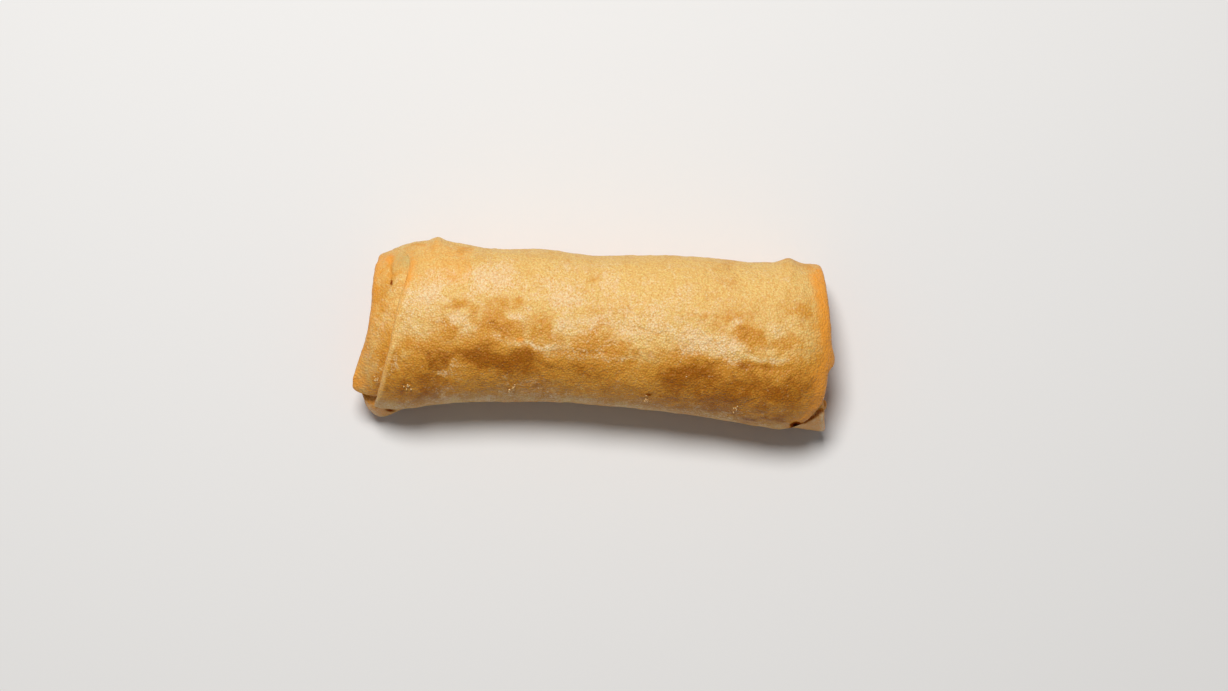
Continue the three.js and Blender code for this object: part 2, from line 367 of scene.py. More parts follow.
def grid_faces(rows, columns, closed=False):
    """Four-sided faces over a grid of points, row by row, closed round the columns if asked."""
    row = np.arange(rows - 1)[:, None] * columns
    column = np.arange(columns if closed else columns - 1)[None, :]
    following = (column + 1) % columns
    corners = [row + column, row + following, row + columns + following, row + columns + column]
    return np.stack(np.broadcast_arrays(*corners), axis=-1).reshape(-1, 4)


def face_outwards(mesh):
    """Turns every face of a mesh to the outside."""
    work = bmesh.new()
    work.from_mesh(mesh)
    bmesh.ops.recalc_face_normals(work, faces=work.faces)
    work.to_mesh(mesh)
    work.free()
    mesh.update()


def make_piece(name, points, faces, shades, material):
    """A smooth mesh in metres, with its shading layers, that rides on the roll and stands for it."""
    mesh = bpy.data.meshes.new(name)
    flat = (points.reshape(-1, 3) + np.array(DRAWN_FROM)) * MM
    # The roll's weight pressed the blisters under it flat.
    flat[:, 2] = np.maximum(flat[:, 2], 0)
    mesh.from_pydata(flat, [], faces.tolist())
    for layer in ("browning_and_shade", "veil_and_highlight", "edge", "green", "seam_and_shade"):
        attribute = mesh.attributes.new(layer, "FLOAT", "POINT")
        values = np.clip(shades.get(layer, 0.0), 0, 2)
        attribute.data.foreach_set("value", np.broadcast_to(values, points.shape[:-1]).ravel())
    face_outwards(mesh)
    mesh.shade_smooth()
    mesh.materials.append(material)
    piece = bpy.data.objects.new(name, mesh)
    bpy.context.scene.collection.objects.link(piece)
    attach(piece, "root")
    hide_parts(NODE)
    return piece


def fold_profile(reach, thickness, steps):
    """A leaf's edge seen end on, as (inset, lift) from its face round the edge to its hidden side."""
    radius = thickness / 2
    turn = np.radians(np.linspace(90, -90, steps))
    rounded = [(radius - radius * np.cos(a), radius * np.sin(a) - radius) for a in turn]
    return rounded[1:] + [(radius + reach / 2, -thickness), (radius + reach, -thickness)]


# ---- Fried wrapper, as a material ----


def linear(code):
    """An sRGB hex code as linear red, green and blue."""
    channels = [int(code.lstrip("#")[i:i + 2], 16) / 255 for i in (0, 2, 4)]
    return [c / 12.92 if c <= 0.04045 else ((c + 0.055) / 1.055) ** 2.4 for c in channels]


def add_node(tree, kind, settings=None, links=None):
    """Adds a node, sets its properties or input values, and links its inputs by name."""
    node = tree.nodes.new(kind)
    for key, value in (settings or {}).items():
        if isinstance(key, str) and hasattr(node, key):
            setattr(node, key, value)
        else:
            node.inputs[key].default_value = value
    for key, source in (links or {}).items():
        tree.links.new(source, node.inputs[key])
    return node


def mixed(tree, blend, amount, low, high):
    """One colour laid over another; each may be a socket or a plain colour."""
    settings = {"data_type": "RGBA", "blend_type": blend}
    links = {}
    for key, value in (("Factor", amount), (6, low), (7, high)):
        if isinstance(value, bpy.types.NodeSocket):
            links[0 if key == "Factor" else key] = value
        else:
            settings[0 if key == "Factor" else key] = value
    return add_node(tree, "ShaderNodeMix", settings, links).outputs[2]


def spread(tree, source, low, high, to_low=0.0, to_high=1.0):
    """A value stretched from one range to another, held at its ends."""
    node = add_node(
        tree, "ShaderNodeMapRange",
        {"interpolation_type": "SMOOTHSTEP", "From Min": low, "From Max": high,
         "To Min": to_low, "To Max": to_high},
        {"Value": source})
    return node.outputs["Result"]


def layer_value(tree, layer):
    """A shading layer of the mesh."""
    return add_node(tree, "ShaderNodeAttribute", {"attribute_name": layer}).outputs["Fac"]


def pattern(tree, place, kind, size_mm, settings, output):
    """A noise or cell pattern whose features are about size_mm across."""
    settings = dict(settings, Scale=1 / (size_mm * MM))
    return add_node(tree, kind, settings, {"Vector": place}).outputs[output]


def blended(tree, value, noise_value, amount):
    """A value with noise laid over it: amount times the noise's distance from its middle."""
    centred = add_node(tree, "ShaderNodeMath", {"operation": "MULTIPLY_ADD", 1: amount, 2: -amount / 2},
                       {0: noise_value}).outputs[0]
    return add_node(tree, "ShaderNodeMath", {"operation": "ADD"}, {0: value, 1: centred}).outputs[0]


def fried_wheat_wrapper(name, colours, browner=0.0, gloss=0.0, blister_mm=0.2):
    """Fried wheat-flour wrapper: dough rolled thin, then crisped in oil.

    The eye sees a dull satin crust, pale where fine blisters dried out, amber where the oil and the
    pan reached it, and slightly see-through where the leaf is single.
    """
    material = bpy.data.materials.new(name)
    material.use_nodes = True
    tree = material.node_tree
    shader = tree.nodes["Principled BSDF"]
    place = add_node(tree, "ShaderNodeTexCoord").outputs["Object"]
    rgba = {key: linear(getattr(colours, key)) + [1] for key in
            ("floury", "golden", "amber", "brown", "fold_orange", "leek_green", "seam_dark_and_shade", "burnt")}

    browning_and_shade = layer_value(tree, "browning_and_shade")
    veil_and_highlight = layer_value(tree, "veil_and_highlight")
    edge = layer_value(tree, "edge")
    seam_and_shade = layer_value(tree, "seam_and_shade")
    green = layer_value(tree, "green")

    clouds = pattern(tree, place, "ShaderNodeTexNoise", 9,
                     {"Detail": 7, "Roughness": 0.66, "Distortion": 0.9}, "Fac")
    mottle = pattern(tree, place, "ShaderNodeTexNoise", 2.2, {"Detail": 7, "Roughness": 0.74}, "Fac")
    flakes = pattern(tree, place, "ShaderNodeTexNoise", 4,
                     {"Detail": 8, "Roughness": 0.74, "Distortion": 1.8}, "Fac")
    grain = pattern(tree, place, "ShaderNodeTexVoronoi", 0.55, {"Randomness": 1.0}, "Distance")
    speck = pattern(tree, place, "ShaderNodeTexNoise", 0.5, {"Detail": 2, "Roughness": 0.7}, "Fac")

    fried = blended(tree, browning_and_shade, clouds, 1.25)
    fried = blended(tree, fried, mottle, 0.85)
    fried = blended(tree, fried, speck, 0.85)
    dusty = blended(tree, veil_and_highlight, flakes, 2.3)
    dusty = blended(tree, dusty, speck, 1.7)

    colour = mixed(tree, "MIX", spread(tree, fried, 0.12, 0.5 - browner), rgba["golden"], rgba["amber"])
    colour = mixed(tree, "MIX", spread(tree, fried, 0.5 - browner, 1.05), colour, rgba["brown"])
    colour = mixed(tree, "MIX", spread(tree, dusty, 0.25, 0.95, 0.0, 0.8), colour, rgba["floury"])
    pits = spread(tree, grain, 0.25, 0.65, 0.0, 0.32)
    colour = mixed(tree, "MULTIPLY", pits, colour, rgba["amber"])
    pricks = spread(tree, speck, 0.36, 0.48, 0.42, 0.0)
    colour = mixed(tree, "MULTIPLY", pricks, colour, rgba["amber"])
    colour = mixed(tree, "MIX", green, colour, rgba["leek_green"])
    orange = spread(tree, blended(tree, edge, mottle, 0.8), 0.1, 0.9, 0.0, 0.9)
    colour = mixed(tree, "MIX", orange, colour, rgba["fold_orange"])
    # The seam layer lays Seam Dark over scorched flecks and caramelised juice, and over the painted shade
    # in the mouth, the gaps and the deep folds.
    scorched_and_shaded = spread(tree, blended(tree, seam_and_shade, speck, 0.5), 0.2, 0.9, 0.0, 1.0)
    colour = mixed(tree, "MIX", scorched_and_shaded, colour, rgba["seam_dark_and_shade"])
    colour = mixed(tree, "MIX", spread(tree, seam_and_shade, 1.1, 1.6), colour, rgba["burnt"])
    tree.links.new(colour, shader.inputs["Base Color"])

    # A film of oil glints on some of the finest blisters.
    satin = spread(tree, mottle, 0.3, 0.7, 0.44 - gloss, 0.6 - gloss)
    oily = spread(tree, speck, 0.52, 0.68, 0.0, 0.24)
    rough = add_node(tree, "ShaderNodeMath", {"operation": "SUBTRACT"}, {0: satin, 1: oily}).outputs[0]
    tree.links.new(rough, shader.inputs["Roughness"])
    shader.inputs["IOR"].default_value = 1.45
    tree.links.new(spread(tree, scorched_and_shaded, 0.0, 0.5, 0.38, 0.0), shader.inputs["Specular IOR Level"])
    shader.inputs["Subsurface Weight"].default_value = 0.10
    shader.inputs["Subsurface Radius"].default_value = (1.0, 0.6, 0.2)
    shader.inputs["Subsurface Scale"].default_value = 0.8 * MM

    # Blister skins are domes about half a millimetre across on a slightly leathery leaf.
    domes = add_node(tree, "ShaderNodeBump", {"Strength": 1.0, "Distance": blister_mm * MM, "invert": True},
                     {"Height": grain}).outputs[0]
    leather = add_node(tree, "ShaderNodeBump", {"Strength": 0.7, "Distance": blister_mm * MM},
                       {"Height": mottle, "Normal": domes}).outputs[0]
    tree.links.new(leather, shader.inputs["Normal"])
    return material


# ---- The pieces ----


def leaf_shades(points, angle, x):
    """Browning and veil of the outer leaf: gold at the back, pale over the top, amber at the front."""
    steep = through([(-30, 0.5), (0, 0.22), (25, 0.1), (60, 0.1), (84, 0.2), (100, 0.34), (118, 0.54),
                     (140, 0.66), (152, 0.62), (164, 0.4), (185, 0.35), (230, 0.5), (300, 0.6),
                     (338, 0.55)], angle)
    top = ramp(np.sin(np.radians(angle)), 0.0, 0.35)
    # The folded side lies under the leaf up to here, and its heat left that part more golden.
    under = 1 - ramp(x + 0.5 * np.sin(angle / 5), -32.4, -31.6)
    folded = under * ramp(angle, 8, 24) * (1 - ramp(angle, 62, 74))
    uneven = strayed(points, 5, 2.4)
    browned = near(uneven, BROWN_PATCHES) * top
    paled = near(uneven, PALE_PATCHES) * top
    browning_and_shade = steep + 0.04 * ramp(x, 10, 45) + 0.54 * browned - 0.36 * paled
    browning_and_shade += 0.06 * folded
    browning_and_shade += 0.14 * swell(points + 31.0, 12) * ramp(angle, 40, 80)
    # Crease lines are painted browner: painted shade in the creases.
    browning_and_shade += along_creases(points, 6)
    veil_and_highlight = through([(-30, 0.0), (24, 0.06), (40, 0.24), (58, 0.3), (90, 0.28), (112, 0.15), (130, 0.08),
                    (148, 0.18), (166, 0.5), (190, 0.35), (338, 0.15)], angle)
    veil_and_highlight = veil_and_highlight * (1 - 0.5 * ramp(x, 20, 55)) + 0.68 * paled - 0.55 * browned
    veil_and_highlight += 0.25 * swell(points + 77.0, 6, 3)
    veil_and_highlight *= ramp(angle, 24 + 22 * under, 36 + 22 * under)
    veil_and_highlight -= near(points, GREEN_PATCHES) * 0.9
    return browning_and_shade, np.clip(veil_and_highlight, 0, 1), 0.36 * folded


def blister_field(points, count, seed, size_mm):
    """Round blisters scattered over a face, as heights from 0 to 1."""
    dice = np.random.default_rng(seed)
    flat = points.reshape(-1, 3)
    heights = np.zeros(len(flat))
    for centre in flat[dice.integers(0, len(flat), count)]:
        radius = size_mm * dice.uniform(0.5, 1.3)
        close = np.nonzero(np.abs(flat[:, 0] - centre[0]) < radius)[0]
        away = np.linalg.norm(flat[close] - centre, axis=1) / radius
        dome = np.clip(1 - away ** 2, 0, 1) ** 0.7 * dice.uniform(0.4, 1.0)
        heights[close] = np.maximum(heights[close], dome * (away < 1))
    return heights.reshape(points.shape[:-1])


def blister_crowd(points, centre, count, seed):
    """Small blisters crowded round one place on the upper face, as heights."""
    dice = np.random.default_rng(seed)
    heights = np.zeros(points.shape[:-1])
    upper = points[..., 2] > 12
    for _ in range(count):
        x = centre[0] + dice.normal(0, 4)
        y = centre[1] + dice.normal(0, 1.5)
        radius = dice.uniform(0.5, 1.1)
        away = np.hypot(points[..., 0] - x, points[..., 1] - y) / radius
        heights = np.maximum(heights, np.clip(1 - away ** 2, 0, 1) ** 0.7 * upper * dice.uniform(0.5, 1))
    return heights


def relief(points, angle, x, sizes):
    """How far the fried leaf stands off its smooth shape: swells, hidden edges and blisters."""
    height = sizes.buckle / MM * swell(points, 17, 3)
    height += 0.14 * swell(points + 11.0, 4.5, 3)
    # Fine creases where the leaf pulled tight: thin ridges along the zero lines of a soft noise.
    crease = 1 - np.abs(swell(points + 63.0, 8, 2)) * 7
    height += 0.10 * np.clip(crease, 0, 1) ** 2
    # Stretch marks across the roll, over its top and back.
    stretched = points * np.array([1.0, 0.16, 0.16])
    height += 0.07 * swell(stretched + 29.0, 1.5) * ramp(angle, 5, 25) * (1 - ramp(angle, 95, 125))
    # The inner edge of the folded side shows through the leaf as a low step.
    height -= 0.30 * (1 - ramp(x, -32.5, -31.7)) * ramp(angle, 8, 25) * (1 - ramp(angle, 60, 85))
    for spot, reach, rise in BACK_HUMPS:
        height += rise * np.exp(-((x - spot) / reach) ** 2) * np.exp(-((angle - 12) / 26) ** 2)
    height -= along_creases(points, 5)
    height += sizes.blister / MM * blister_field(points, 520, 5, 1.3)
    for spot_x, spot_y, count, rise, seed in BLISTER_CROWDS:
        height += rise * blister_crowd(points, (spot_x, spot_y), count, seed)
    return height


def make_outer_leaf(sizes, material):
    """The last turn of the wrapper, from under its own tip, over the top and round to the tip."""
    leaf = sizes.leaf / MM
    fold = sizes.fold / MM
    step = sizes.mesh_step / MM
    rows = int(LEAF_SPAN / step)
    columns = rows
    angle = np.linspace(LEAF_START, LEAF_TIP, rows)
    wander = sizes.edge_wander / MM
    along_edge = np.stack([angle * 0.31, np.zeros(rows), np.zeros(rows)], axis=-1)
    left = through(LEFT_EDGE, angle) + wander * swell(along_edge, 6, 3)
    right = through(RIGHT_EDGE, angle) + wander * swell(along_edge + 50.0, 6, 3)
    thickness = fold + (leaf - fold) * ramp(angle, 150, 190)
    # Over the back the left edge is one soft leaf, pressed flat on the turn below.
    pressed = thickness + (0.3 - thickness) * soft_edge(angle)
    share = np.linspace(0, 1, columns)
    face_left = left + pressed / 2
    face_right = right - thickness / 2
    face_x = face_left[:, None] + (face_right - face_left)[:, None] * share[None, :]
    face_angle = np.broadcast_to(angle[:, None], face_x.shape)
    buried = spiralled(angle, leaf) - START_DIP * (1 - ramp(angle, LEAF_START, DIPPED))
    smooth = on_section(BODY, face_x, face_angle, buried[:, None])
    height = relief(smooth, face_angle, face_x, sizes)
    from_left = face_x - left[:, None]
    from_right = right[:, None] - face_x
    lip = ramp(face_angle, 20, 60) * (1 - ramp(face_angle, 140, 165))
    height += 0.34 * lip * np.exp(-((from_left - 0.9) / 0.75) ** 2)
    lift = buried[:, None] + height
    face = on_section(BODY, face_x, face_angle, lift)

    left_edge = folded_edge(left, 1, angle, lift[:, 0], pressed)[:, ::-1]
    right_edge = folded_edge(right, -1, angle, lift[:, -1], thickness)
    points = np.concatenate([left_edge, face, right_edge], axis=1)

    browning_and_shade, veil_and_highlight, warmth = leaf_shades(smooth, face_angle, face_x)
    upper = ramp(face_angle, 10, 40) * (1 - ramp(face_angle, 150, 175))
    fold_heat = np.exp(-(np.maximum(from_right, 0) / 3.6) ** 1.5) * (0.45 + 1.0 * upper)
    edge_tint = fold_heat * (0.9 + 0.4 * swell(smooth + 5.0, 4)) + near(smooth, ORANGE_SPOTS) * upper
    edge_tint += warmth + 0.42 * lip * np.exp(-((from_left - 0.6) / 0.9) ** 2)
    # The left fold's rim is painted pale and golden along the bend: a painted highlight.
    rim = lip * np.exp(-((from_left - 0.6) / 0.6) ** 2)
    veil_and_highlight = veil_and_highlight + (0.36 - veil_and_highlight) * 0.8 * rim
    browning_and_shade = browning_and_shade * (1 - 0.9 * rim)
    # The leaf's right edge near the low corner is painted dark: caramelised juice, with painted shadow in
    # the crease under the edge.
    juice_and_shade = np.exp(-((from_right - 0.2) / 0.6) ** 2) * ramp(face_angle, 150, 156)
    juice_and_shade = juice_and_shade * (1 - ramp(face_angle, 168, 176))
    pad = ((0, 0), (left_edge.shape[1], right_edge.shape[1]))
    ragged = strayed(points, 1.4, 0.3)
    side_on = np.exp(-((points[..., 2] - 17) / 3) ** 2)
    seam_and_shade = near(ragged, FLECKS) * ramp(points[..., 2], 5, 8) + 1.8 * near(ragged, BURNT_SPOTS) * side_on
    shades = {
        "browning_and_shade": np.pad(browning_and_shade, pad, mode="edge"),
        "veil_and_highlight": np.pad(veil_and_highlight, pad, mode="edge"),
        "edge": np.clip(np.pad(edge_tint, pad, mode="edge"), 0, 1),
        "green": near(points, GREEN_PATCHES) * (points[..., 2] > 12),
        "seam_and_shade": seam_and_shade + 0.9 * np.pad(juice_and_shade, pad, mode="edge"),
    }
    return make_piece("outer_leaf", points, grid_faces(*points.shape[:2]), shades, material)


def soft_edge(angle):
    """1 over the back, where the outer leaf's left edge lies flat, and 0 where it stands as a fold."""
    return 1 - ramp(angle, 40, 72)


def folded_edge(rim, inward, angle, lift, thickness):
    """Points from a leaf's face round one of its edges, whose outermost line is at rim."""
    strips = []
    for inset, drop in fold_profile(3.0, 1.0, 7):
        reach = inset * thickness if inset <= 0.5 else thickness / 2 + inset - 0.5
        strips.append(on_section(BODY, rim + inward * reach, angle, lift + drop * thickness))
    return np.stack(strips, axis=1)


def make_inner_roll(sizes, material):
    """The turns below the outer leaf, with their end folds and the faces set in behind them."""
    leaf = sizes.leaf / MM
    around = 200
    angle = np.linspace(0, 360, around, endpoint=False)
    turned = np.where(angle > 180, angle - 360, angle)
    sunk = -leaf + ramp(turned, LEAF_START, DIPPED) * spiralled(turned, leaf)
    left = through(CORE_LEFT, angle)
    right = through(CORE_RIGHT, angle)
    rings = []
    shade = []
    rim = [(-12.0, 5.5), (-9.0, 5.2), (-6.5, 4.6), (-4.5, 3.6), (-3.0, 2.2), (-1.9, 1.1), (-1.1, 0.35),
           (-0.55, 0.05), (-0.2, 0.0)]
    for drop, inset in rim:
        x = left + inset
        rings.append(on_section(CORE, x, angle, sunk + bed_of_tuck(x, turned, sunk) + drop))
        shade.append(np.full(around, 0.5 + 0.04 * -drop))
    for part in np.linspace(0, 1, 190):
        x = left + 0.5 + (right - left - 1.0) * part
        smooth = on_section(CORE, x, angle, sunk)
        lift = sunk + 0.3 * swell(smooth, 15, 3) + 0.08 * swell(smooth + 3.0, 3)
        lift += bed_of_tuck(x, turned, sunk)
        rings.append(on_section(CORE, x, angle, lift))
        shade.append(np.full(around, 0.0))
    for drop, inset in reversed(rim):
        rings.append(on_section(CORE, right - inset, angle, sunk + drop))
        shade.append(np.full(around, 0.5 + 0.04 * -drop))
    # Both end faces close at their middle.
    rings = [rings[0] * 0 + rings[0].mean(axis=0), *rings, rings[-1] * 0 + rings[-1].mean(axis=0)]
    shade = [shade[0], *shade, shade[-1]]
    points = np.stack(rings)
    tint = np.stack(shade)
    # The low front corners are painted paler and more orange, paler still along their rim: partly their own
    # pale skin, partly painted light, as they stand steep and in shade.
    corner = ramp(np.abs(points[..., 0]), 47, 53) * ramp(angle, 136, 146) * (1 - ramp(angle, 186, 205))
    to_end = np.minimum(right - points[..., 0], points[..., 0] - left)
    rim = corner * np.exp(-((to_end - 0.3) / 0.8) ** 2)
    # Under the tuck's lip the mouth is painted darker and more orange: painted shade in the gap, with a
    # red-brown tint.
    mouth = (1 - ramp(points[..., 0], -56.5, -53.5)) * ramp(angle, 128, 136) * (1 - ramp(angle, 144, 150))
    outside = 1 - ramp(tint, 0.52, 0.6)
    # Painted shade along the outer leaf's raw edges and in the mouth, with the caramelised juice of the
    # right crease; none on the end faces.
    shade_and_stain = (leaf_shadow(points, angle) + 0.5 * mouth) * outside
    shades = {
        "browning_and_shade": 0.5 - 0.42 * corner + 0.15 * swell(points + 9.0, 9),
        "veil_and_highlight": np.clip(0.15 + 0.5 * corner + 0.4 * rim + 0.3 * swell(points + 40.0, 5, 3) - mouth, 0, 1),
        "edge": np.clip(tint + 0.6 * corner - 0.35 * rim + 0.6 * mouth, 0, 0.9),
        # Rings set deepest into each end face are painted dark: painted shade in the recess.
        "seam_and_shade": np.clip((tint - 0.6) * 1.6, 0, 0.6) + shade_and_stain,
    }
    faces = grid_faces(*points.shape[:2], closed=True)
    return make_piece("inner_roll", points, faces, shades, material)


def leaf_shadow(points, angle):
    """Painted shade on the inner roll along the outer leaf's raw edges, near both corners: at the right the
    crease's shadow with caramelised juice in it.
    """
    x = points[..., 0]
    beyond_right = x - through(RIGHT_EDGE, angle)
    right = np.exp(-((beyond_right - 0.2) / 1.1) ** 2) * ramp(angle, 128, 140) * (1 - ramp(angle, 172, 190))
    # Below the leaf's low left corner: a line in its shade, which deepens into a small wedge.
    before_leaf = -through(BODY["front"], x) - points[..., 1]
    line = np.exp(-((before_leaf - 0.3) / 0.5) ** 2) * (1 - ramp(x, -47, -44)) * (points[..., 2] < 14)
    left = line * (0.25 + 0.9 * np.exp(-((x + 51.2) / 1.4) ** 2))
    uneven = 0.9 + 0.4 * swell(points + 17.0, 1.6)
    return np.clip((0.85 * right + 0.85 * left) * uneven, 0, 1)


def make_left_tuck(sizes, material):
    """The turn under the outer leaf, where it slid out at the left end."""
    leaf = sizes.leaf / MM
    fold = sizes.fold / MM
    rows = 170
    angle = np.linspace(TUCK_START, TUCK_END, rows)
    along_edge = np.stack([angle * 0.31, np.full(rows, 9.0), np.zeros(rows)], axis=-1)
    # At its low end the turn was torn slantwise, from a sharp outer corner down to the outer leaf.
    low = ramp(angle, 110, TUCK_END)
    edge_angle = angle - 3.5 * low
    left = through(TUCK_EDGE, edge_angle) + sizes.edge_wander / MM * swell(along_edge, 5, 3)
    columns = 44
    # The fold thins out to a single leaf at its low corner.
    thickness = fold + (0.6 * leaf - fold) * ramp(angle, 116, 142)
    face_left = left + thickness / 2
    face_x = face_left[:, None] + (TUCK_INNER - face_left)[:, None] * np.linspace(0, 1, columns)[None, :]
    opened = np.clip((face_x + 60.3) / 7.3, 0, 1) ** 0.6
    face_angle = edge_angle[:, None] + 12.5 * opened * low[:, None]
    soft = soft_edge(face_angle)
    base = -fold + TUCK_LIFT + 0.45 * ramp(face_angle, 120, TUCK_END) * (1 - ramp(face_x, -58, -52))
    base += (spiralled(face_angle, leaf) - 0.25 - base) * soft
    smooth = on_section(BODY, face_x, face_angle, base)
    rough = 0.22 * swell(smooth + 21.0, 9, 3) + 0.08 * swell(smooth + 4.0, 2.4)
    lift = base + rough + (relief(smooth, face_angle, face_x, sizes) - rough) * soft
    face = on_section(BODY, face_x, face_angle, lift)
    left_edge = folded_edge(left, 1, edge_angle, lift[:, 0], thickness)[:, ::-1]
    points = np.concatenate([left_edge, face], axis=1)
    from_left = face_x - left[:, None]
    to_outer = through(LEFT_EDGE, face_angle) - face_x
    # Beside the outer leaf's edge the tuck is painted browner: painted shade under the fold.
    shaded = ramp(face_angle, 80, 110) * np.exp(-((to_outer - 0.6) / 1.6) ** 2)
    browning_and_shade = 0.26 + 0.2 * swell(smooth + 31.0, 7) + 0.35 * shaded
    veil_and_highlight = 0.18 + 0.35 * swell(smooth + 70.0, 5, 3)
    leaf_browning, leaf_veil, warmth = leaf_shades(smooth, face_angle, face_x)
    browning_and_shade += (leaf_browning - browning_and_shade) * soft
    veil_and_highlight += (leaf_veil - veil_and_highlight) * soft
    upper = ramp(face_angle, 10, 30)
    edge_tint = 0.6 * np.exp(-from_left / 1.4) + near(smooth, ORANGE_SPOTS) * upper + warmth * soft
    edge_tint += 0.22 * (1 - soft)
    pad = ((0, 0), (left_edge.shape[1], 0))
    shades = {
        "browning_and_shade": np.pad(browning_and_shade, pad, mode="edge"),
        "veil_and_highlight": np.pad(veil_and_highlight, pad, mode="edge"),
        "edge": np.clip(np.pad(edge_tint, pad, mode="edge"), 0, 1),
        "green": near(points, GREEN_PATCHES) * (points[..., 2] > 12),
        "seam_and_shade": near(points, FLECKS) * (points[..., 2] > 12),
    }
    return make_piece("left_tuck", points, grid_faces(*points.shape[:2]), shades, material)


def make_end_spiral(name, edge, side, sizes, material):
    """The inner turns at one end: a rounded fold that winds in towards the middle of the end face."""
    leaf = sizes.leaf / MM
    fold = sizes.fold / MM
    pitch = sizes.turn_pitch / MM
    windings = 3.2
    steps = 620
    bend_radius = 0.36 * fold
    turn = np.linspace(0, windings, steps)
    angle = 360 * (1 - turn % 1)
    walk = np.stack([turn * 25, np.full(steps, 3.0 * side), np.zeros(steps)], axis=-1)
    # Each turn was pressed flatter underneath, and its fold stands out unevenly.
    pressed = 1 - 0.3 * ramp(-np.sin(np.radians(angle)), 0, 1)
    inset = 0.4 + 0.9 * turn + 1.1 * swell(walk, 7, 3) + 0.35 * swell(walk * 3 + 8.0, 5)
    lift = -2 * leaf - pitch * (turn + 0.45) * pressed + 0.45 * swell(walk + 60.0, 7, 3)
    rim = through(edge, angle) - side * inset
    # Depth into the end and side of the leaf, from one leg of the fold round its bend to the other.
    legs = (5.0, 3.0, 1.2)
    bend = [(1 - math.cos(a), math.sin(a)) for a in np.radians(np.linspace(-90, 90, 9))]
    outline = [(depth, -1) for depth in legs] + bend + [(depth, 1) for depth in reversed(legs)]
    columns = []
    for depth, across in outline:
        x = rim - side * depth * (bend_radius if depth <= 1 else 1.0)
        columns.append(on_section(CORE, x, angle, lift + across * bend_radius))
    points = np.stack(columns, axis=1)
    depths = np.array([depth for depth, _ in outline])
    # Deeper into each fold the leaf is painted less pale, more orange and darker; the darkening is painted
    # shade between the turns.
    deep = np.clip(depths / 3.0, 0, 1)[None, :] * np.ones((steps, 1))
    shades = {
        "browning_and_shade": 0.55 + 0.3 * swell(points + 15.0, 6),
        "veil_and_highlight": np.clip(0.25 + 0.4 * swell(points + 55.0, 3, 3), 0, 1) * (1 - deep),
        "edge": np.clip(0.45 + 0.35 * deep + 0.2 * swell(points, 4), 0, 1),
        "seam_and_shade": np.clip(deep - 0.3, 0, 0.7),
    }
    return make_piece(name, points, grid_faces(*points.shape[:2]), shades, material)


def angle_at(x, y):
    """The angle of the upper face of the roll over a place in plan."""
    angles = np.linspace(5, 175, 681)
    heights = on_section(BODY, x, angles, 0)
    return angles[np.argmin(np.abs(heights[:, 1] - y))]


def closed_sheet(middle, thickness):
    """A sheet's grid of middle points as a closed grid, thinned to nothing at its two ends."""
    along = np.gradient(middle, axis=0)
    across = np.gradient(middle, axis=1)
    normal = np.cross(along, across)
    normal /= np.linalg.norm(normal, axis=-1, keepdims=True)
    thinned = np.sin(np.pi * np.linspace(0.02, 0.98, middle.shape[0])) ** 0.4
    half = normal * thinned[:, None, None] * thickness / 2
    return np.concatenate([middle + half, (middle - half)[:, ::-1]], axis=1)


def make_crisp_flake(sizes, material):
    """The little curled flake of leaf that broke up at the low right corner."""
    along, across = np.meshgrid(np.linspace(0, 1, 22), np.linspace(0, 1, 10), indexing="ij")
    width = 1.5 * (1 - 0.35 * np.abs(2 * along - 1) ** 2)
    x = 56.0 + across * width + 0.35 * np.sin(along * 4.2)
    y = -13.3 - 3.4 * along + 0.25 * np.sin(across * 3)
    z = 12.6 - 3.2 * along + 0.9 * np.sin(across * math.pi * 0.8) - 0.5 * across
    points = closed_sheet(np.stack([x, y, z], axis=-1), sizes.leaf / MM * 0.5)
    points = points + 0.12 * swell(points, 1.1)[..., None]
    shades = {
        "browning_and_shade": 0.35 + 0.4 * swell(points + 2.0, 1.5),
        "veil_and_highlight": 0.35,
        "edge": 0.15,
    }
    faces = grid_faces(*points.shape[:2], closed=True)
    return make_piece("crisp_flake", points, faces, shades, material)


def make_clinging_crumbs(material):
    """Crumbs of crust, two or three tenths of a millimetre thick, stuck to the upper face."""
    dice = np.random.default_rng(12)
    places = [(x + dice.normal(0, 0.5), y + dice.normal(0, 0.4))
              for x, y in CRUMB_CLUSTERS for _ in range(CRUMBS_PER_CLUSTER)]
    around, along = 7, 6
    turn = np.linspace(0, 2 * math.pi, around, endpoint=False)
    dip = np.linspace(0.02, math.pi - 0.02, along)
    ball = np.stack([np.outer(np.sin(dip), np.cos(turn)), np.outer(np.sin(dip), np.sin(turn)),
                     np.outer(np.cos(dip), np.ones(around))], axis=-1)
    crumbs = []
    faces = []
    for number, (x, y) in enumerate(places):
        angle = angle_at(x, y)
        spot = on_section(BODY, x, angle, 0.35)
        size = np.array([0.21, 0.21, 0.13]) * dice.uniform(0.5, 1.3, 3)
        lump = ball * size * (1 + 0.3 * dice.normal(0, 1, (along, around, 1)).clip(-1.5, 1.5))
        crumbs.append(lump + spot)
        faces.append(grid_faces(along, around, closed=True) + number * along * around)
    points = np.stack(crumbs)
    shades = {"browning_and_shade": 0.3 * dice.random(points.shape[:-1]), "veil_and_highlight": 0.8}
    return make_piece("clinging_crumbs", points, np.concatenate(faces), shades, material)


# ---- Operators ----


class SPRINGROLL_OT_inner_roll(bpy.types.Operator):
    """Makes the turns below the outer leaf"""

    bl_idname = "spring_roll.inner_roll"
    bl_label = "Inner Roll"

    def execute(self, context):
        scene = context.scene
        material = fried_wheat_wrapper("fried_wheat_wrapper_inner", scene.spring_roll_colours, 0.05, 0.04)
        make_inner_roll(scene.spring_roll_sizes, material)
        return {"FINISHED"}


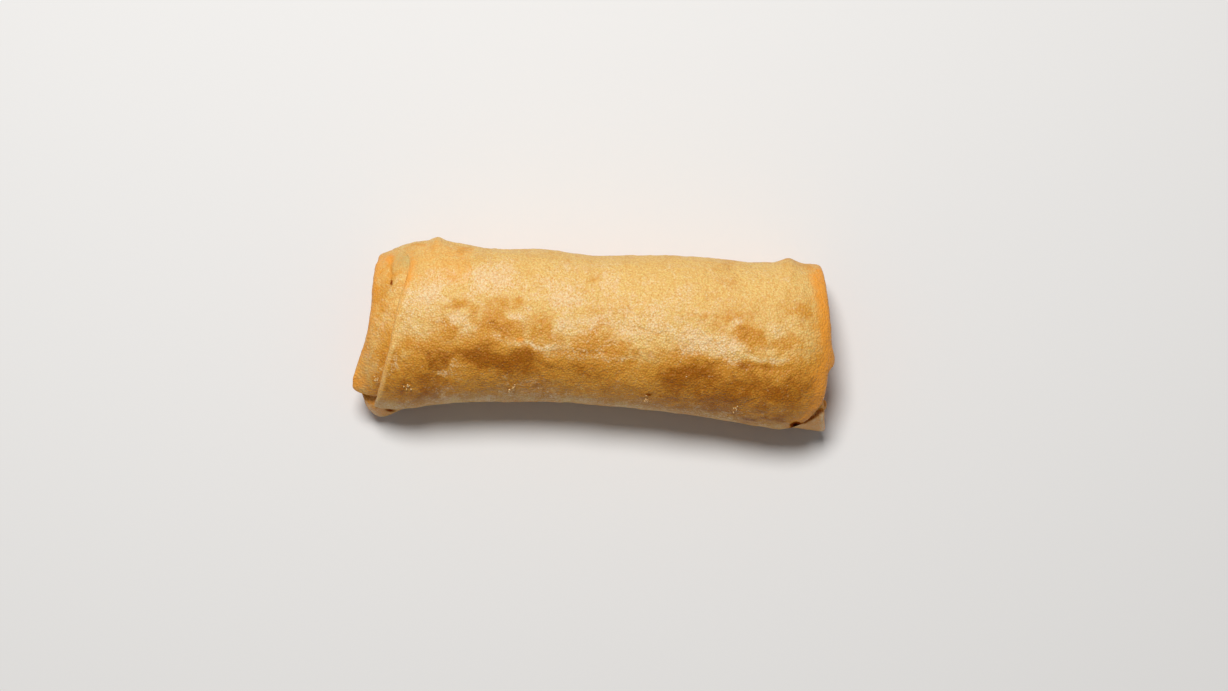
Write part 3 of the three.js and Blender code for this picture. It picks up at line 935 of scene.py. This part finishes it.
class SPRINGROLL_OT_outer_leaf(bpy.types.Operator):
    """Makes the last turn of the wrapper, with its folded sides and its sealed tip"""

    bl_idname = "spring_roll.outer_leaf"
    bl_label = "Outer Leaf"

    def execute(self, context):
        scene = context.scene
        material = fried_wheat_wrapper("fried_wheat_wrapper_outer", scene.spring_roll_colours)
        make_outer_leaf(scene.spring_roll_sizes, material)
        return {"FINISHED"}


class SPRINGROLL_OT_left_tuck(bpy.types.Operator):
    """Makes the turn that slid out at the left end"""

    bl_idname = "spring_roll.left_tuck"
    bl_label = "Left Tuck"

    def execute(self, context):
        scene = context.scene
        material = fried_wheat_wrapper("fried_wheat_wrapper_tuck", scene.spring_roll_colours)
        make_left_tuck(scene.spring_roll_sizes, material)
        return {"FINISHED"}


class SPRINGROLL_OT_end_folds(bpy.types.Operator):
    """Makes the wound folds seen at both ends"""

    bl_idname = "spring_roll.end_folds"
    bl_label = "End Folds"

    def execute(self, context):
        scene = context.scene
        sizes = scene.spring_roll_sizes
        material = fried_wheat_wrapper("fried_wheat_wrapper_folds", scene.spring_roll_colours, 0.1, 0.06)
        make_end_spiral("end_folds_left", CORE_LEFT, -1, sizes, material)
        make_end_spiral("end_folds_right", CORE_RIGHT, 1, sizes, material)
        return {"FINISHED"}


class SPRINGROLL_OT_flakes(bpy.types.Operator):
    """Makes the curled flake at the low right corner and the crumbs stuck to the crust"""

    bl_idname = "spring_roll.flakes"
    bl_label = "Flake and Crumbs"

    def execute(self, context):
        scene = context.scene
        colours = scene.spring_roll_colours
        material = fried_wheat_wrapper("fried_wheat_wrapper_flakes", colours, blister_mm=0.04)
        make_crisp_flake(scene.spring_roll_sizes, material)
        make_clinging_crumbs(material)
        return {"FINISHED"}


class SPRINGROLL_OT_stage(bpy.types.Operator):
    """Sets the pale floor, the soft lights and the camera almost straight above"""

    bl_idname = "spring_roll.stage"
    bl_label = "Stage"

    def execute(self, context):
        scene = context.scene
        stage = scene.spring_roll_stage
        set_floor(stage)
        set_lights(scene, stage)
        set_camera(scene, stage)
        return {"FINISHED"}


def set_floor(stage):
    """A plain pale floor, of matt board."""
    mesh = bpy.data.meshes.new("floor")
    half = 1.5
    mesh.from_pydata([(-half, -half, 0), (half, -half, 0), (half, half, 0), (-half, half, 0)], [],
                     [(0, 1, 2, 3)])
    material = bpy.data.materials.new("matt_board")
    material.use_nodes = True
    shader = material.node_tree.nodes["Principled BSDF"]
    shader.inputs["Base Color"].default_value = linear(stage.floor_colour) + [1]
    shader.inputs["Roughness"].default_value = 0.6
    mesh.materials.append(material)
    floor = bpy.data.objects.new("floor", mesh)
    bpy.context.scene.collection.objects.link(floor)


def set_lights(scene, stage):
    """A soft key from high behind, in a pale room."""
    lamp = bpy.data.lights.new("soft_key", "AREA")
    lamp.shape = "DISK"
    lamp.size = 360 * MM
    lamp.energy = stage.key_power
    lamp.color = (1.0, 0.99, 0.975)
    key = bpy.data.objects.new("soft_key", lamp)
    scene.collection.objects.link(key)
    bearing = math.radians(107)
    rise = math.radians(67)
    away = 1.1
    key.location = (away * math.cos(rise) * math.cos(bearing), away * math.cos(rise) * math.sin(bearing),
                    away * math.sin(rise))
    roll_middle = Vector((0, 0, 10 * MM))
    key.rotation_euler = (roll_middle - key.location).to_track_quat("-Z", "Y").to_euler()
    room = bpy.data.worlds.new("pale_room")
    room.use_nodes = True
    background = room.node_tree.nodes["Background"]
    background.inputs["Color"].default_value = (1.0, 0.99, 0.98, 1)
    background.inputs["Strength"].default_value = stage.surround
    scene.world = room


def set_camera(scene, stage):
    """Almost straight above, turned so that the roll's right end lies a little low in view."""
    turned = math.radians(3)
    above = math.radians(87.5)
    right = Vector((math.cos(turned), math.sin(turned), 0))
    level_up = Vector((-math.sin(turned), math.cos(turned), 0))
    back = -math.cos(above) * level_up + math.sin(above) * Vector((0, 0, 1))
    up = back.cross(right)
    aim = Vector((5, -1.4, 13)) * MM
    view_width = 307 * MM
    lens = bpy.data.cameras.new("overhead")
    lens.lens = lens.sensor_width * stage.camera_distance / view_width
    camera = bpy.data.objects.new("overhead", lens)
    scene.collection.objects.link(camera)
    axes = Matrix((right, up, back)).transposed()
    camera.matrix_world = Matrix.Translation(aim + back * stage.camera_distance) @ axes.to_4x4()
    scene.camera = camera
    scene.view_settings.view_transform = "Standard"


class SPRINGROLL_PT_panel(bpy.types.Panel):
    """Lists the roll's sizes, colours and the steps that make it"""

    bl_idname = "SPRINGROLL_PT_panel"
    bl_label = "Spring Roll"
    bl_space_type = "VIEW_3D"
    bl_region_type = "UI"
    bl_category = "Spring Roll"

    def draw(self, context):
        for group_name, group in GROUPS.items():
            box = self.layout.box()
            for field in group.__annotations__:
                box.prop(getattr(context.scene, group_name), field)
        for operator in OPERATORS:
            self.layout.operator(operator.bl_idname)


OPERATORS = (
    SPRINGROLL_OT_inner_roll,
    SPRINGROLL_OT_outer_leaf,
    SPRINGROLL_OT_left_tuck,
    SPRINGROLL_OT_end_folds,
    SPRINGROLL_OT_flakes,
    SPRINGROLL_OT_stage,
)
CLASSES = (*GROUPS.values(), *OPERATORS, SPRINGROLL_PT_panel)


def register():
    for cls in CLASSES:
        bpy.utils.register_class(cls)
    for group_name, group in GROUPS.items():
        setattr(bpy.types.Scene, group_name, bpy.props.PointerProperty(type=group))


def unregister():
    for group_name in GROUPS:
        delattr(bpy.types.Scene, group_name)
    for cls in reversed(CLASSES):
        bpy.utils.unregister_class(cls)


def main():
    register()
    bpy.ops.spring_roll.inner_roll()
    bpy.ops.spring_roll.outer_leaf()
    bpy.ops.spring_roll.left_tuck()
    bpy.ops.spring_roll.end_folds()
    bpy.ops.spring_roll.flakes()
    bpy.ops.spring_roll.stage()


if __name__ == "__main__":
    main()
